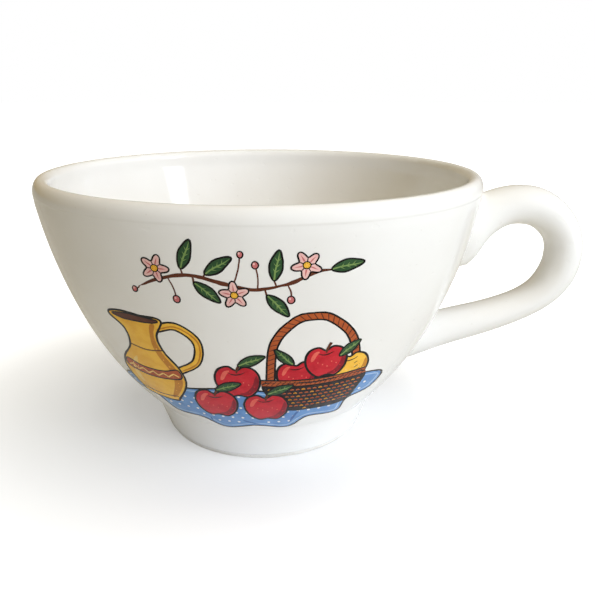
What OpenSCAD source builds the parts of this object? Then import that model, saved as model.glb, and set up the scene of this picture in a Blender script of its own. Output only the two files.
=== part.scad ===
// Cider bowl: a footed ceramic bowl with one loop handle, under a glass glaze and a fired-on print.
// The origin is on the bowl's axis at the surface it stands on, +Z is up and the handle is towards +X.
// Sizes are those of the glazed outside, and the clay is smaller by the thickness of the glaze.

/* [Bowl] */
// Outer diameter of the lip
rim_d = 110; // [96:1:124]
// Height from the table to the top of the lip
bowl_h = 68.3; // [62:0.1:76]
// Thickness of the wall
wall_t = 3.6; // [2.6:0.1:4.6]
// Thickness of the lip
lip_t = 3.7; // [2.6:0.1:4.6]
// Height of the lip's band
lip_h = 3.9; // [3:0.1:5]
// Radius of the wall's curve above its waist
shoulder_r = 119.1; // [105:0.1:140]
// Radius of the wall's curve below its waist
belly_r = 81; // [76:0.5:86]
// How far the waist, where the two curves meet, lies below the top
waist_drop = 34.3; // [32:0.5:38]
// How far the wall leans outwards at the lip, in degrees
wall_lean = 8.8; // [6:0.1:12]
// Height of the inside floor at the axis
floor_z = 8.6; // [7.5:0.1:10]

/* [Foot] */
// How far the foot's side at the table lies inside the lip
foot_inset = 28.75; // [26:0.25:31]
// How far the foot's side leans outwards, in degrees
foot_lean = 19; // [10:0.5:24]
// Radius between the foot and the wall
foot_fillet = 3; // [1:0.1:5]
// Radius of the edges of the ring it stands on
foot_edge = 1; // [0.6:0.1:1.4]
// Width of the ring
foot_ring = 5; // [4:0.1:8]
// Depth of the recess under the floor
recess_h = 3.4; // [2:0.1:4.5]
// Radius in the corner of the recess
recess_fillet = 1.8; // [1:0.1:2]

/* [Handle] */
// How far the middle of the handle's outer bend stands off the lip
handle_reach = 26; // [22:0.5:34]
// Height of the loop's centreline
handle_h = 38; // [34:0.5:42]
// How far the middle of the loop lies below the top
handle_drop = 24.3; // [22:0.1:27]
// Thickness of the handle in the plane of its loop
handle_t = 10.6; // [9:0.1:12]
// Width of the handle across its loop
handle_w = 11.1; // [8:0.1:14]
// How far the middle of the upper root lies below the top
upper_root_drop = 15.9; // [15.6:0.1:18]
// Height that the upper root takes on the wall
upper_root_h = 19.9; // [16:0.1:21]
// How far the middle of the lower root lies below the top
lower_root_drop = 45.7; // [43:0.1:47]
// Height that the lower root takes on the wall
lower_root_h = 12.9; // [11:0.1:15]
// Width of both roots
root_w = 12; // [9:0.1:15]
// Height of the fillet of slip around a root
slip_fillet = 1.4; // [0.8:0.1:2]
// Thickness of the slip between a root and the wall
slip_t = 0.3; // [0.2:0.05:0.5]

/* [Coats] */
// Thickness of the glaze
glaze_t = 0.35; // [0.2:0.05:0.6]
// Height above the table where the glaze is wiped off
wipe_h = 1.5; // [1.4:0.1:2.5]
// Thickness of the print's enamel
enamel_t = 0.1; // [0.05:0.05:0.2]

/* [Print] */
// Turn of the print from the front towards the left, in degrees
print_turn = 6; // [0:1:12]
// Width of the black lines
ink_w = 0.5; // [0.4:0.05:0.7]
// Width of the blue cloth
cloth_w = 60; // [50:1:62]
// Height of the blue cloth
cloth_h = 17; // [14:0.5:18]
// How far the cloth's lowest fold lies below the top
cloth_drop = 57.1; // [54:0.1:57.2]
// Height of the jug
jug_h = 25; // [20:0.5:28]
// Width of the jug's belly
jug_w = 16; // [13:0.5:18]
// Diameter of an apple
apple_d = 9.6; // [8:0.1:11]
// Width of the basket's rim
basket_w = 21; // [18:0.5:23]
// Height of the basket
basket_h = 10; // [8:0.5:12]
// Diameter of a blossom
blossom_d = 6; // [5:0.1:7]
// Length of a leaf
leaf_l = 6.4; // [5:0.1:7.5]

/* [Hidden] */
clay = "ivory";
slip = "antiquewhite";
glaze = "white";
round_steps = 96;
rim_r = rim_d / 2;
foot_r = rim_r - foot_inset;
waist_z = bowl_h - waist_drop;
handle_z = bowl_h - handle_drop;

// The wall's two arcs, each a centre and a radius, meet at the waist with one tangent
lip_z = bowl_h - lip_h;
shoulder_c = [rim_r - shoulder_r * cos(wall_lean), lip_z + shoulder_r * sin(wall_lean)];
waist_lean = asin((shoulder_c.y - waist_z) / shoulder_r);
belly_c = shoulder_c + (shoulder_r - belly_r) * [cos(waist_lean), -sin(waist_lean)];
// The floor is part of a sphere on the axis that meets the inside of the upper arc with one tangent
inner_r = shoulder_r - wall_t;
floor_drop = shoulder_c.y - floor_z;
floor_r = (pow(inner_r, 2) - pow(shoulder_c.x, 2) - pow(floor_drop, 2)) / 2 / (inner_r - floor_drop);
floor_c = [0, floor_z + floor_r];
floor_top = shoulder_c.y + inner_r * (floor_c.y - shoulder_c.y) / norm(floor_c - shoulder_c);

// The fillet runs a little into the faces it joins, so that it ends in one clean edge
blend_overlap = 0.002;

// Inset is how far a surface lies under the glazed one
function waist_height(inset) = shoulder_c.y - (shoulder_r - inset) * sin(waist_lean);
function arc_radius(centre, radius, z) = centre.x + sqrt(pow(radius, 2) - pow(z - centre.y, 2));
function wall_radius(z, inset) =
    z > waist_height(inset) ? arc_radius(shoulder_c, shoulder_r - inset, z)
    : arc_radius(belly_c, belly_r - inset, z);
function wall_normal(z) =
    let (centre = z > waist_z ? shoulder_c : belly_c, way = [wall_radius(z, 0), z] - centre)
    way / norm(way);

// The foot's side is a line that leans out, and its fillet touches that line and the belly
foot_way = [sin(foot_lean), cos(foot_lean)];
foot_out = [cos(foot_lean), -sin(foot_lean)];
fillet_c =
    let (
        start = [foot_r, 0] + foot_fillet * foot_out - belly_c,
        along = start * foot_way,
        far = pow(belly_r + foot_fillet, 2) - start * start
    )
    belly_c + start + (-along - sqrt(along * along + far)) * foot_way;
function edge_x(inset) = foot_r - inset / foot_out.x - foot_edge * (1 + foot_out.y) / foot_out.x;

module arc_zone(centre, radius, low, high) {
    intersection() {
        translate(centre) circle(radius);
        translate([0, low]) square([rim_d, high - low]);
    }
}

module foot_zone(inset) {
    radius = foot_fillet + inset;
    touch_wall = fillet_c + radius * (belly_c - fillet_c) / norm(belly_c - fillet_c);
    difference() {
        polygon([
            [0, foot_edge],
            [edge_x(inset), foot_edge],
            [edge_x(inset), foot_edge] + foot_edge * foot_out,
            fillet_c - radius * foot_out,
            touch_wall,
            [0, touch_wall.y]
        ]);
        translate(fillet_c) circle(radius + blend_overlap);
    }
    arc_zone(belly_c, belly_r - inset, fillet_c.y, waist_height(inset));
    translate([edge_x(inset), foot_edge]) circle(foot_edge);
    square([edge_x(inset), foot_edge]);
}

module cavity_zone(inset) {
    intersection() {
        union() {
            arc_zone(floor_c, floor_r + inset, 0, floor_top);
            arc_zone(shoulder_c, inner_r + inset, floor_top, bowl_h);
        }
        square([rim_r - lip_t + inset, bowl_h]);
    }
}

module recess_zone(inset) {
    edge = foot_r - foot_ring + inset;
    top = recess_h + inset;
    corner = recess_fillet + inset;
    square([edge - corner, top]);
    square([edge, top - corner]);
    translate([edge - corner, top - corner]) circle(corner);
    difference() {
        translate([edge, 0]) square(foot_edge);
        translate([edge + foot_edge, foot_edge]) circle(foot_edge);
    }
}

// The lip is a round edge on an upright band, which the wall's outer curve runs into at its height
module section(inset) {
    top_z = bowl_h - lip_t / 2;
    difference() {
        intersection() {
            union() {
                foot_zone(inset);
                arc_zone(shoulder_c, shoulder_r - inset, waist_height(inset), top_z);
            }
            square([rim_r - inset, top_z]);
        }
        cavity_zone(inset);
        recess_zone(inset);
    }
    translate([rim_r - lip_t / 2, top_z]) circle(lip_t / 2 - inset);
}

// The handle's centreline: places beyond the lip and above the loop's middle, then thickness
path_shares = [
    [-0.22, -0.015, 1.27],
    [0.19, 0.335, 0.99],
    [0.66, 0.375, 0.965],
    [0.98, 0.18, 0.92],
    [0.97, -0.11, 0.89],
    [0.605, -0.34, 0.74],
    [-0.335, -0.515, 0.97],
    [-1.475, -0.535, 1.455]
];
path = [for (p = path_shares) [rim_r + p[0] * handle_reach, handle_z + p[1] * handle_h, p[2] * handle_t]];
// Where along the path the free stretch of the handle starts and ends, counted in path points
free_start_share = 0.22;
free_end_share = 4.72;
side_count = 24;
free_count = 26;
root_count = 6;
slip_count = 3;
cap_count = 3;
slope_share = 0.01;

function spline(points, s) =
    let (i = floor(s), u = s - i, a = points[i], b = points[i + 1], c = points[i + 2], d = points[i + 3])
    (2 * b + (c - a) * u + (2 * a - 5 * b + 4 * c - d) * u * u + (3 * b - a - 3 * c + d) * u * u * u) / 2;
function path_way(s) =
    let (way = spline(path, s + slope_share) - spline(path, s - slope_share), flat = [way.x, 0, way.y])
    flat / norm(flat);
function side_angle(j) = 360 * j / side_count;
function tube_point(s, j, inset) =
    let (at = spline(path, s), way = path_way(s), out = [-way.z, 0, way.x])
    [at.x, 0, at.y] + out * (at.z / 2 - inset) * cos(side_angle(j))
    + [0, (handle_w / 2 - inset) * sin(side_angle(j)), 0];
function on_wall(y, z, inset) = [sqrt(pow(wall_radius(z, inset), 2) - y * y), y, z];
function off_wall(point) =
    let (slope = wall_normal(point.z), around = [point.x, point.y, 0] / norm([point.x, point.y]))
    [slope.x * around.x, slope.x * around.y, slope.y];

// A root is [middle height, height on the wall, side of the outer face, place on the path, way, swell, run]
// Swell and run are shares of its length over which it leaves the wall squarely and joins the free stretch
upper_root_shares = [1, free_start_share, 1, 0.58, 0.54];
lower_root_shares = [-1, free_end_share, -1, 0.18, 0.55];
upper_root = concat([bowl_h - upper_root_drop, upper_root_h], upper_root_shares);
lower_root = concat([bowl_h - lower_root_drop, lower_root_h], lower_root_shares);
// How far up a root its fillet reaches
fillet_top_share = 0.1;

// The clay of a root ends on the slip that holds it to the wall
function seat(inset) = inset > 0 ? inset - slip_t : 0;
function outline(root, j, grow, scale, inset) = on_wall(
    scale * (root_w / 2 + grow) * sin(side_angle(j)),
    root[0] + scale * root[2] * (root[1] / 2 + grow) * cos(side_angle(j)),
    inset
);
function cubic(a, b, c, d, t) =
    pow(1 - t, 3) * a + 3 * t * pow(1 - t, 2) * b + 3 * t * t * (1 - t) * c + pow(t, 3) * d;
function root_point(root, j, inset, t) =
    let (
        start = outline(root, j, -inset, 1, seat(inset)),
        end = tube_point(root[3], j, inset),
        span = norm(end - start),
        swell = off_wall(start) * root[5] * span,
        run = root[4] * path_way(root[3]) * root[6] * span
    )
    cubic(start, start + swell, end - run, end, t);
// A fillet line leaves the wall beside the root and ends on the root's side
function fillet_point(root, j, inset, t) =
    let (
        start = outline(root, j, slip_fillet, 1, inset),
        corner = outline(root, j, -inset, 1, inset),
        end = root_point(root, j, inset, fillet_top_share)
    )
    pow(1 - t, 2) * start + 2 * t * (1 - t) * corner + t * t * end;

sides = [for (j = [0:side_count - 1]) j];
foot_shares = [for (k = [0:slip_count]) fillet_top_share * k / slip_count];
root_shares = [for (k = [0:root_count - 1]) fillet_top_share + (1 - fillet_top_share) * k / root_count];
function turned(rings) = [for (k = [len(rings) - 1:-1:0]) rings[k]];
function cap_rings(root, grow, inset) =
    [for (k = [1:cap_count]) [for (j = sides) outline(root, j, grow, k / (cap_count + 1), inset)]];
function root_rings(root, inset, shares) = [for (t = shares) [for (j = sides) root_point(root, j, inset, t)]];
function fillet_rings(root, inset) =
    [for (k = [0:slip_count - 1]) [for (j = sides) fillet_point(root, j, inset, k / slip_count)]];
function free_rings(inset) = [
    for (k = [0:free_count])
        let (s = free_start_share + (free_end_share - free_start_share) * k / free_count)
        [for (j = sides) tube_point(s, j, inset)]
];
function core_end(root) = concat(
    cap_rings(root, -glaze_t, seat(glaze_t)),
    root_rings(root, glaze_t, [for (k = [0:slip_count - 1]) foot_shares[k]]),
    root_rings(root, glaze_t, root_shares)
);
function coat_end(root, inset) = concat(fillet_rings(root, inset), root_rings(root, inset, root_shares));
function coat(inset) = concat(
    coat_end(upper_root, inset),
    free_rings(inset),
    turned(coat_end(lower_root, inset))
);
function slip_rings(root) = concat(
    cap_rings(root, slip_fillet, glaze_t),
    fillet_rings(root, glaze_t),
    turned(root_rings(root, glaze_t, foot_shares)),
    turned(cap_rings(root, -glaze_t, seat(glaze_t)))
);

// One closed skin through a chain of rings, which is a loop or ends in a point at each end
function middle(ring) = [for (p = ring) 1] * ring / side_count;
module skin(rings, loop = false) {
    count = len(rings);
    last = (count - 1) * side_count;
    strips = [
        for (k = [0:loop ? count - 1 : count - 2], j = sides)
            let (
                near = k * side_count,
                far = (k + 1) % count * side_count,
                next = (j + 1) % side_count
            )
            each [[near + j, near + next, far + next], [near + j, far + next, far + j]]
    ];
    ends = [
        for (j = loop ? [] : sides)
            let (next = (j + 1) % side_count)
            each [[count * side_count, next, j], [count * side_count + 1, last + j, last + next]]
    ];
    tips = loop ? [] : [middle(rings[0]), middle(rings[count - 1])];
    polyhedron(concat([for (ring = rings) each ring], tips), concat(strips, ends));
}

module bowl() {
    color(clay) rotate_extrude($fn = round_steps) section(glaze_t);
}

module handle() {
    color(clay) skin(concat(core_end(upper_root), free_rings(glaze_t), turned(core_end(lower_root))));
}

module upper_slip_joint() {
    color(slip) skin(slip_rings(upper_root));
}

module lower_slip_joint() {
    color(slip) skin(turned(slip_rings(lower_root)));
}

module handle_glaze() {
    color(glaze) skin(concat(coat(0), turned(coat(glaze_t))), loop = true);
}

// The glaze leaves the places under the two roots and the ring that the bowl stands on
module root_prism(root) {
    places = [for (j = sides) outline(root, j, slip_fillet, 1, 0)];
    rotate([90, 0, 90]) linear_extrude(rim_d) polygon([for (p = places) [p.y, p.z]]);
}

module wall_zone(inset) {
    fillet_top = fillet_c.y + foot_fillet * (belly_c - fillet_c).y / norm(belly_c - fillet_c);
    arc_zone(belly_c, belly_r - inset, fillet_top, waist_height(inset));
    arc_zone(shoulder_c, shoulder_r - inset, waist_height(inset), lip_z);
}

module bowl_glaze() {
    color(glaze) difference() {
        rotate_extrude($fn = round_steps) difference() {
            section(0);
            section(glaze_t);
            square([rim_d, wipe_h]);
        }
        intersection() {
            rotate_extrude($fn = round_steps) difference() {
                wall_zone(-wall_t / 2);
                wall_zone(wall_t / 2);
            }
            union() {
                root_prism(upper_root);
                root_prism(lower_root);
            }
        }
    }
}

// The print is drawn flat, as [along, height] seen from the front, and laid on the wall
cloth_shares = [
    [0, 0.74], [0.1, 0.9], [0.26, 0.84], [0.46, 0.93], [0.66, 0.86], [0.86, 1], [1, 0.9],
    [0.96, 0.6], [0.87, 0.5], [0.83, 0.22], [0.72, 0.25], [0.64, 0.02], [0.52, 0.1], [0.4, 0],
    [0.31, 0.2], [0.2, 0.22], [0.13, 0.5], [0.03, 0.54]
];
jug_shares = [
    [0.28, 0], [0.72, 0], [0.82, 0.06], [0.98, 0.28], [0.94, 0.46], [0.76, 0.64], [0.7, 0.8], [0.8, 0.97],
    [0.5, 0.99], [0.2, 1], [0, 0.95], [0.22, 0.82], [0.24, 0.64], [0.06, 0.46], [0.02, 0.28], [0.18, 0.06]
];
jug_loop_shares = [[0.7, 0.88], [0.98, 0.93], [1.24, 0.8], [1.2, 0.58], [0.92, 0.44]];
jug_band_shares = [
    [0.1, 0.45], [0.3, 0.41], [0.5, 0.4], [0.7, 0.41], [0.9, 0.45],
    [0.93, 0.35], [0.7, 0.31], [0.5, 0.3], [0.3, 0.31], [0.07, 0.35]
];
apple_shares = [
    [0.5, 0.87], [0.68, 0.98], [0.9, 0.88], [1, 0.6], [0.93, 0.27], [0.72, 0.03],
    [0.5, 0.07], [0.28, 0.03], [0.07, 0.27], [0, 0.6], [0.1, 0.88], [0.32, 0.98]
];
leaf_shares = [[0, 0], [0.25, 0.17], [0.6, 0.2], [1, 0], [0.65, -0.15], [0.3, -0.17]];
stem_shares = [[0, 0], [0.04, 0.14], [0.14, 0.28]];
basket_shares = [[0, 1], [0.5, 0.94], [1, 1], [0.93, 0.42], [0.8, 0.05], [0.5, 0], [0.2, 0.05], [0.07, 0.42]];
basket_rim_shares = [[-0.03, 1], [0.5, 0.94], [1.03, 1]];
arch_shares = [[0.06, 0], [0.12, 0.62], [0.32, 0.94], [0.5, 1], [0.68, 0.94], [0.88, 0.62], [0.94, 0]];
vine_shares = [
    [0, 0.2], [0.12, 0.55], [0.28, 0.75], [0.45, 0.5],
    [0.6, 0.3], [0.78, 0.5], [0.9, 0.85], [1, 0.9]
];

cloth_z = bowl_h - cloth_drop;
jug_x = -28.5;
jug_stand_share = 0.5;
jug_z = cloth_z + jug_stand_share * cloth_h;
fruit_x = -11.5;
fruit_stand_share = 0.26;
fruit_z = cloth_z + fruit_stand_share * cloth_h;
basket_x = 4.5;
basket_stand_share = 0.45;
basket_z = cloth_z + basket_stand_share * cloth_h;
arch_h = 17;
strap_w = 1.6;
vine_x = -19;
vine_drop = 17.8;
vine_z = bowl_h - vine_drop;
vine_w = 38;
vine_h = 6;
petal_count = 5;
petal_steps = 8;
petal_share = 0.24;
dot_steps = 10;
fruit_leaf_turn = 25;
curve_steps = 3;

function placed(shares, at, size) = [for (p = shares) at + [p.x * size.x, p.y * size.y]];
function swung(points, at, angle) =
    [for (p = points) at + [p.x * cos(angle) - p.y * sin(angle), p.x * sin(angle) + p.y * cos(angle)]];
function curve(a, b, c, d, u) =
    (2 * b + (c - a) * u + (2 * a - 5 * b + 4 * c - d) * u * u + (3 * b - a - 3 * c + d) * u * u * u) / 2;
function rounded(points, steps = curve_steps) =
    let (n = len(points))
    [for (i = [0:n - 1], k = [0:steps - 1])
        curve(points[(i + n - 1) % n], points[i], points[(i + 1) % n], points[(i + 2) % n], k / steps)];
function line(points, steps = curve_steps) =
    let (
        n = len(points),
        before = 2 * points[0] - points[1],
        after = 2 * points[n - 1] - points[n - 2],
        full = concat([before], points, [after])
    )
    concat(
        [for (i = [0:n - 2], k = [0:steps - 1])
            curve(full[i], full[i + 1], full[i + 2], full[i + 3], k / steps)],
        [points[n - 1]]
    );
function beside(points, i, width) =
    let (
        n = len(points),
        way = points[min(i + 1, n - 1)] - points[max(i - 1, 0)]
    )
    points[i] + width / 2 / norm(way) * [-way.y, way.x];
function band(points, width) = concat(
    [for (i = [0:len(points) - 1]) beside(points, i, -width)],
    [for (i = [len(points) - 1:-1:0]) beside(points, i, width)]
);
function turning(points) =
    let (n = len(points))
    sign([for (i = [0:n - 1]) cross(points[i], points[(i + 1) % n])] * [for (p = points) 1]);
function grown(points, far) =
    let (n = len(points), side = turning(points))
    [for (i = [0:n - 1])
        let (way = points[(i + 1) % n] - points[(i + n - 1) % n])
        points[i] + side * far / norm(way) * [way.y, -way.x]];

function cloth() = rounded(placed(cloth_shares, [-cloth_w / 2, cloth_z], [cloth_w, cloth_h]));
function on_jug(shares) = placed(shares, [jug_x, jug_z], [jug_w, jug_h]);
function apple(at, size) = rounded(placed(apple_shares, at, [size, size] * apple_d), 2);
function stem(at) = band(line(placed(stem_shares, at, [apple_d, apple_d]), 2), ink_w);
function leaf(at, angle) = rounded(swung(leaf_l * leaf_shares, at, angle), 2);
function blossom(at) = [
    for (k = [0:petal_steps * petal_count - 1])
        let (
            angle = 360 * k / petal_steps / petal_count,
            reach = 1 - petal_share + petal_share * cos(petal_count * angle)
        )
        at + blossom_d / 2 * reach * [cos(angle), sin(angle)]
];
function dot(at, size) =
    [for (k = [0:dot_steps - 1]) at + size / 2 * [cos(360 * k / dot_steps), sin(360 * k / dot_steps)]];

// Places of the fruit in apple widths, then the size of each apple of the heap
fruit_shares = [[0, 0.1], [1.15, 0], [0.58, 0.9]];
fruit_stem_shares = [0.5, 0.86];
fruit_leaf_shares = [0.55, 1];
heap_shares = [[0.28, -0.26, 0.86], [1.73, -0.24, 0.86], [0.95, 0.08, 0.9]];
basket_leaf_shares = [[0.3, 1.5, 130], [0.75, 1.6, 40]];
fruit_places = [for (p = fruit_shares) [fruit_x, fruit_z] + p * apple_d];
heap_places = [for (p = heap_shares) [basket_x, basket_z + basket_h] + [p.x, p.y] * apple_d];
blossom_shares = [[0.1, 0.9], [0.5, 0.1], [0.86, 1.1]];
vine_leaf_shares = [
    [0.24, 0.95, 70], [0.3, 0.5, -40], [0.36, 0.8, 35],
    [0.66, 0.1, -50], [0.7, 0.6, 80], [0.98, 0.9, 10]
];

function on_basket(shares) = placed(shares, [basket_x, basket_z], [basket_w, basket_h]);
basket_strap = line(placed(arch_shares, [basket_x, basket_z + basket_h], [basket_w, arch_h]));
basket_leaf_places = on_basket(basket_leaf_shares);
vine_leaf_places = placed(vine_leaf_shares, [vine_x, vine_z], [vine_w, vine_h]);
blossom_places = placed(blossom_shares, [vine_x, vine_z], [vine_w, vine_h]);

// Each item is [colour, outline], from the back to the front
art = concat(
    [["blue", cloth()]],
    [["brown", band(basket_strap, strap_w)]],
    [for (i = [0:len(heap_shares) - 1])
        [i == 1 ? "yellow" : "red", apple(heap_places[i], heap_shares[i][2])]],
    [for (i = [0:len(basket_leaf_shares) - 1])
        ["green", leaf(basket_leaf_places[i], basket_leaf_shares[i][2])]],
    [["black", rounded(on_basket(basket_shares))]],
    [["brown", band(line(on_basket(basket_rim_shares)), strap_w)]],
    [["yellow", band(line(on_jug(jug_loop_shares)), strap_w)]],
    [["yellow", rounded(on_jug(jug_shares))]],
    [["brown", rounded(on_jug(jug_band_shares), 2)]],
    [for (p = fruit_places) ["red", apple(p, 1)]],
    [for (p = fruit_places) ["black", stem(p + fruit_stem_shares * apple_d)]],
    [for (p = fruit_places) ["green", leaf(p + fruit_leaf_shares * apple_d, fruit_leaf_turn)]],
    [["black", band(line(placed(vine_shares, [vine_x, vine_z], [vine_w, vine_h])), ink_w)]],
    [for (i = [0:len(vine_leaf_shares) - 1])
        ["green", leaf(vine_leaf_places[i], vine_leaf_shares[i][2])]],
    [for (p = blossom_places) ["pink", blossom(p)]],
    [for (p = blossom_places) ["yellow", dot(p, blossom_d / 4)]]
);
function low_corner(points) = [min([for (p = points) p.x]), min([for (p = points) p.y])];
function high_corner(points) = [max([for (p = points) p.x]), max([for (p = points) p.y])];
art_boxes = [for (item = art) [low_corner(item[1]), high_corner(item[1])]];
function meet(a, b) =
    a[0].x - ink_w < b[1].x && b[0].x - ink_w < a[1].x && a[0].y - ink_w < b[1].y && b[0].y - ink_w < a[1].y;

// What lies in front of an item is cut out of it, with its black line
module behind_others(i) {
    difference() {
        children();
        for (j = [i + 1:1:len(art) - 1]) {
            if (meet(art_boxes[i], art_boxes[j])) {
                polygon(grown(art[j][1], art[j][0] == "black" ? 0 : ink_w / 2));
            }
        }
    }
}

module flat_colour(name) {
    for (i = [0:len(art) - 1]) {
        if (art[i][0] == name) {
            behind_others(i) polygon(grown(art[i][1], name == "black" ? 0 : -ink_w / 2));
        }
    }
}

module flat_lines() {
    for (i = [0:len(art) - 1]) {
        if (art[i][0] != "black") {
            behind_others(i) difference() {
                polygon(grown(art[i][1], ink_w / 2));
                polygon(grown(art[i][1], -ink_w / 2));
            }
        }
    }
    flat_colour("black");
}

module on_front() {
    intersection() {
        rotate_extrude($fn = round_steps) difference() {
            wall_zone(-enamel_t);
            wall_zone(0);
        }
        rotate([90, 0, -print_turn]) linear_extrude(rim_d) children();
    }
}

module print_blue() {
    color("cornflowerblue") on_front() flat_colour("blue");
}

module print_yellow() {
    color("goldenrod") on_front() flat_colour("yellow");
}

module print_red() {
    color("crimson") on_front() flat_colour("red");
}

module print_green() {
    color("darkgreen") on_front() flat_colour("green");
}

module print_brown() {
    color("sienna") on_front() flat_colour("brown");
}

module print_pink() {
    color("pink") on_front() flat_colour("pink");
}

module print_black() {
    color("black") on_front() flat_lines();
}

bowl();
handle();
upper_slip_joint();
lower_slip_joint();
bowl_glaze();
handle_glaze();
print_blue();
print_yellow();
print_red();
print_green();
print_brown();
print_pink();
print_black();
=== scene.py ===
"""Cider bowl, dressed: one glass glaze over the clay, a fired-on still life, soft daylight from the front right."""
import math
import random

import bpy
import numpy as np
from mathutils import Matrix, Vector, geometry, noise


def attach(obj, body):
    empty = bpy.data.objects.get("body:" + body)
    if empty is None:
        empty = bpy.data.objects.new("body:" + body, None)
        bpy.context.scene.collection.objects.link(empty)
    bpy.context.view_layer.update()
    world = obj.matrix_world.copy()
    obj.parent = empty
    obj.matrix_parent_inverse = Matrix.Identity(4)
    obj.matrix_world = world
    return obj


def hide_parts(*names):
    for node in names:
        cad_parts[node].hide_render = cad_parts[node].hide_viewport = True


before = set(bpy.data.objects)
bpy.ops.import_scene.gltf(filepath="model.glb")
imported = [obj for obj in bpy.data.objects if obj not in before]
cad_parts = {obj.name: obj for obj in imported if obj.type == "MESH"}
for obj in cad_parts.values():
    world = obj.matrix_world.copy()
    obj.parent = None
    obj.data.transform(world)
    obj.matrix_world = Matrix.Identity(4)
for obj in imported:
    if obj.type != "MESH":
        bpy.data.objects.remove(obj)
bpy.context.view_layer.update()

# ---------------------------------------------------------------- sizes in mm and degrees, as in the frame
MM = 0.001
RIM_D, BOWL_H, WALL_T, LIP_T, LIP_H = 110.0, 68.3, 3.6, 3.7, 3.9
SHOULDER_R, BELLY_R, WAIST_Z, WALL_LEAN, FLOOR_Z = 119.1, 81.0, 34.0, 8.8, 8.6
FOOT_D, FOOT_LEAN, FOOT_FILLET, FOOT_RING = 52.5, 19.0, 3.0, 5.0
RECESS_H, RECESS_FILLET = 3.4, 1.8
HANDLE_REACH, HANDLE_H, HANDLE_Z, HANDLE_T, HANDLE_W = 26.0, 38.0, 44.0, 10.6, 11.1
ROOT_W, SLIP_FILLET, GLAZE_T, WIPE_H = 12.0, 1.4, 0.35, 1.5
PRINT_TURN, INK_W = 6.0, 0.5
CLOTH_W, CLOTH_H, CLOTH_Z = 60.0, 17.0, 11.2
JUG_H, JUG_W, APPLE_D = 25.0, 16.0, 9.6
BASKET_W, BASKET_H, BLOSSOM_D, LEAF_L = 21.0, 10.0, 6.0, 6.4

# The coat's fine forms, which only this script has: its wiped edge, and the lip's bead with the groove under it
EDGE_ROUND, EDGE_T = 0.45, 0.1
BEAD_H, BEAD_UNDER, BEAD_START, BEAD_SET = 3.0, -8, 0.45, 0.04
GROOVE_START, GROOVE_DROP, GROOVE_DEPTH = 1.3, 0.35, 0.07
INNER_ROUND = 1.2
BOWL_STEPS, RECESS_STEPS = 288, 144

# ---------------------------------------------------------------- the wall's curve
RIM_R = RIM_D / 2
LIP_Z = BOWL_H - LIP_H
LEAN = math.radians(WALL_LEAN)
SHOULDER_C = np.array([RIM_R - SHOULDER_R * math.cos(LEAN), LIP_Z + SHOULDER_R * math.sin(LEAN)])
WAIST_LEAN = math.asin((SHOULDER_C[1] - WAIST_Z) / SHOULDER_R)
BELLY_C = SHOULDER_C + (SHOULDER_R - BELLY_R) * np.array([math.cos(WAIST_LEAN), -math.sin(WAIST_LEAN)])
INNER_R = SHOULDER_R - WALL_T
FLOOR_DROP = SHOULDER_C[1] - FLOOR_Z
FLOOR_R = (INNER_R ** 2 - SHOULDER_C[0] ** 2 - FLOOR_DROP ** 2) / 2 / (INNER_R - FLOOR_DROP)
FLOOR_C = np.array([0.0, FLOOR_Z + FLOOR_R])
FLOOR_TOP = SHOULDER_C[1] + INNER_R * (FLOOR_C[1] - SHOULDER_C[1]) / np.linalg.norm(FLOOR_C - SHOULDER_C)
FOOT_A = math.radians(FOOT_LEAN)
FOOT_WAY = np.array([math.sin(FOOT_A), math.cos(FOOT_A)])
FOOT_OUT = np.array([math.cos(FOOT_A), -math.sin(FOOT_A)])


def fillet_centre():
    """Where a ball of the fillet's radius touches both the foot's side and the belly."""
    start = np.array([FOOT_D / 2, 0]) + FOOT_FILLET * FOOT_OUT - BELLY_C
    along = float(start @ FOOT_WAY)
    beyond = (BELLY_R + FOOT_FILLET) ** 2 - float(start @ start)
    return BELLY_C + start + (-along - math.sqrt(along ** 2 + beyond)) * FOOT_WAY


def waist_height(inset):
    return SHOULDER_C[1] - (SHOULDER_R - inset) * math.sin(WAIST_LEAN)


def arc_radius(centre, radius, z):
    return centre[0] + math.sqrt(radius ** 2 - (z - centre[1]) ** 2)


def wall_radius(z, inset=0.0):
    if z > waist_height(inset):
        return arc_radius(SHOULDER_C, SHOULDER_R - inset, z)
    return arc_radius(BELLY_C, BELLY_R - inset, z)


def wall_normal(z):
    centre = SHOULDER_C if z > WAIST_Z else BELLY_C
    way = np.array([wall_radius(z), z]) - centre
    return way / np.linalg.norm(way)


def bezier(a, b, c, n):
    t = np.linspace(0, 1, n + 1)[:, None]
    return (1 - t) ** 2 * a + 2 * t * (1 - t) * b + t ** 2 * c


def arc_points(centre, radius, z0, z1, n):
    return np.array([[arc_radius(centre, radius, z), z] for z in np.linspace(z0, z1, n + 1)])


def turn_points(centre, radius, a0, a1, n):
    a = np.radians(np.linspace(a0, a1, n + 1))
    return np.stack([centre[0] + radius * np.cos(a), centre[1] + radius * np.sin(a)], 1)


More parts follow.
